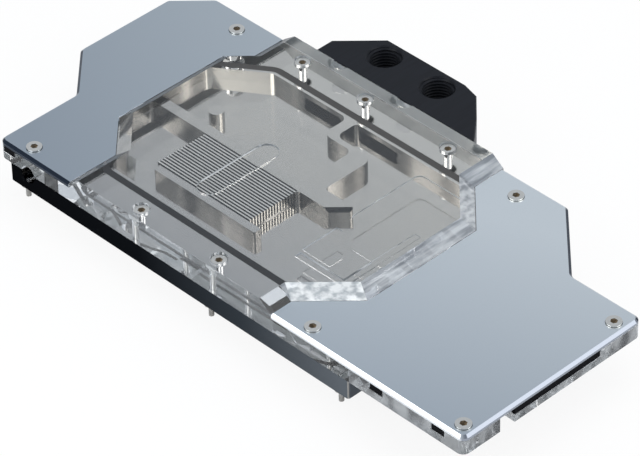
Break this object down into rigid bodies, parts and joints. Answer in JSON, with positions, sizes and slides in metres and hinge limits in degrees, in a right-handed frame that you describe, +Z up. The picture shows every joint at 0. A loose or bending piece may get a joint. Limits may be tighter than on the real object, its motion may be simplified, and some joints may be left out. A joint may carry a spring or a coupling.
{
  "type": "liquid cooling cold plate",
  "caption": "Nickel-plated cold plate with fins and a flow chamber under a clear bevelled top, two metal covers, and a black port block with threaded ports.",
  "frame": {"origin": "middle of the face that presses on the chip, under the fins", "axes": "+X along the long side towards the long right end, +Y towards the port block, +Z up through the clear top"},
  "size_m": [0.257, 0.139, 0.029],
  "materials": {
    "nickel_plate": "polished nickel plating on copper",
    "clear_acrylic": "clear cast acrylic, polished",
    "cover_metal": "anodised, satin",
    "black_plastic": "machined acetal, satin",
    "strip_black": "matt",
    "seal_rubber": "matt",
    "screw_steel": "nickel-plated steel",
    "standoff_steel": "nickel-plated brass"
  },
  "bodies": {
    "root": {"cold_plate": "nickel_plate", "clear_top": "clear_acrylic", "left_cover": "cover_metal", "right_cover": "cover_metal", "port_terminal": "black_plastic", "main_gasket": "seal_rubber", "light_strip_end": "strip_black", "light_strip_left": "strip_black", "light_strip_inner": "strip_black", "light_strip_outer": "strip_black", "left_cover_screws": "screw_steel", "right_cover_screws": "screw_steel", "top_screw_front_left": "screw_steel", "top_screw_front_right": "screw_steel", "top_screw_back_left": "screw_steel", "top_screw_back_middle": "screw_steel", "top_screw_back_right": "screw_steel", "standoff_front_left": "standoff_steel", "standoff_front_middle": "standoff_steel", "standoff_front_right": "standoff_steel", "standoff_back_left": "standoff_steel", "standoff_back_middle": "standoff_steel", "standoff_back_right": "standoff_steel"}
  },
  "joints": []
}
